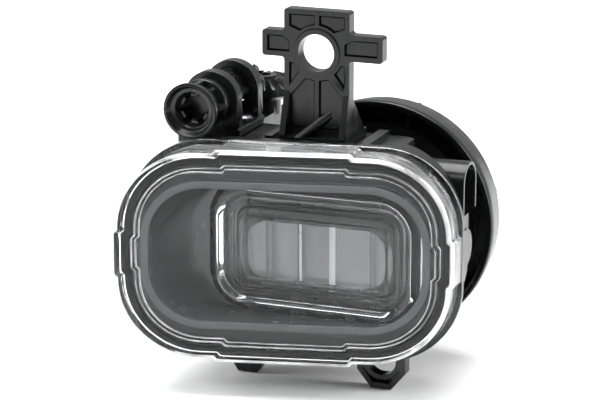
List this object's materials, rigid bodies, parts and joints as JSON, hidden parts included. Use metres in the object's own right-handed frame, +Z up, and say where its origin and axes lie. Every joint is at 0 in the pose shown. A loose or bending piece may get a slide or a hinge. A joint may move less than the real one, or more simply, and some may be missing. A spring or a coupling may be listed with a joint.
{
  "type": "fog light",
  "caption": "Front fog light with a clear swept lens, LED module that tilts for aim, a geared aim adjuster, upper mounting eye and lower lugs.",
  "frame": {"origin": "centre of the upper mounting eye, in the plane that the eye and both lower lugs seat against", "axes": "+Z up, -Y forwards the way the lamp shines, +X to the right of a person facing the lamp"},
  "size_m": [0.1092, 0.1133, 0.1263],
  "materials": {
    "black_plastic": "satin",
    "bezel_grey": "satin",
    "lens_clear": "polished",
    "optic_clear": "polished",
    "seal_rubber": "matte",
    "zinc_steel": "satin",
    "tinned_metal": "polished",
    "heat_sink_metal": "satin",
    "board_white": "satin",
    "led_yellow": "satin",
    "pad_grey": "matte"
  },
  "bodies": {
    "lamp_body": {"housing": "black_plastic", "front_lens": "lens_clear", "lens_seal": "seal_rubber", "bezel": "bezel_grey", "top_bracket": "black_plastic", "lower_bracket": "black_plastic", "rear_shroud": "black_plastic", "rear_cover": "black_plastic", "cover_seal": "seal_rubber", "connector_socket": "black_plastic", "contact_pin_1": "tinned_metal", "contact_pin_2": "tinned_metal", "vent_plug": "seal_rubber", "vent_hood": "black_plastic", "adjuster_cradle": "black_plastic", "pivot_pin_left": "zinc_steel", "pivot_pin_right": "zinc_steel", "spindle_seal": "seal_rubber", "bracket_screw_left": "zinc_steel", "bracket_screw_right": "zinc_steel", "cradle_screw_left": "zinc_steel", "cradle_screw_right": "zinc_steel", "lug_screw_left": "zinc_steel", "lug_screw_right": "zinc_steel", "shroud_screw_1": "zinc_steel", "shroud_screw_2": "zinc_steel", "shroud_screw_3": "zinc_steel"},
    "adjuster": {"adjuster_screw": "black_plastic", "drive_pinion": "black_plastic", "adjuster_clip": "zinc_steel"},
    "lift_gear": {"crown_gear": "black_plastic", "adjuster_spindle": "zinc_steel"},
    "lift_nut": {"adjuster_nut": "black_plastic"},
    "led_module": {"optic_lens": "optic_clear", "collimator": "optic_clear", "optic_holder": "black_plastic", "tilt_lever": "black_plastic", "pivot_bush_left": "tinned_metal", "pivot_bush_right": "tinned_metal", "led_board": "board_white", "led_chip_1": "led_yellow", "led_chip_2": "led_yellow", "led_chip_3": "led_yellow", "thermal_pad": "pad_grey", "heat_sink": "heat_sink_metal", "board_screw_1": "zinc_steel", "board_screw_2": "zinc_steel"}
  },
  "joints": [
    {"name": "adjuster_turn", "type": "hinge", "parent": "lamp_body", "child": "adjuster", "pos_m": [-0.0366, 0, -0.0182], "axis": [0, 1, 0], "range_deg": [-700, 700]},
    {"name": "crown_turn", "type": "hinge", "parent": "lamp_body", "child": "lift_gear", "pos_m": [-0.0366, 0.0416, -0.03], "axis": [0, 0, 1], "range_deg": [-236, 236]},
    {"name": "nut_lift", "type": "slide", "parent": "lamp_body", "child": "lift_nut", "axis": [0, 0, 1], "range_m": [-0.00198, 0.00198]},
    {"name": "module_tilt", "type": "hinge", "parent": "lamp_body", "child": "led_module", "pos_m": [0, 0.0045, -0.0633], "axis": [1, 0, 0], "range_deg": [-3.06, 3.06]}
  ],
  "couplings": [
    {"joint": "crown_turn", "follows": "adjuster_turn", "ratio": -0.33333},
    {"joint": "nut_lift", "follows": "adjuster_turn", "m_per_rad": 0.00015915},
    {"joint": "module_tilt", "follows": "adjuster_turn", "ratio": 0.0042899}
  ]
}
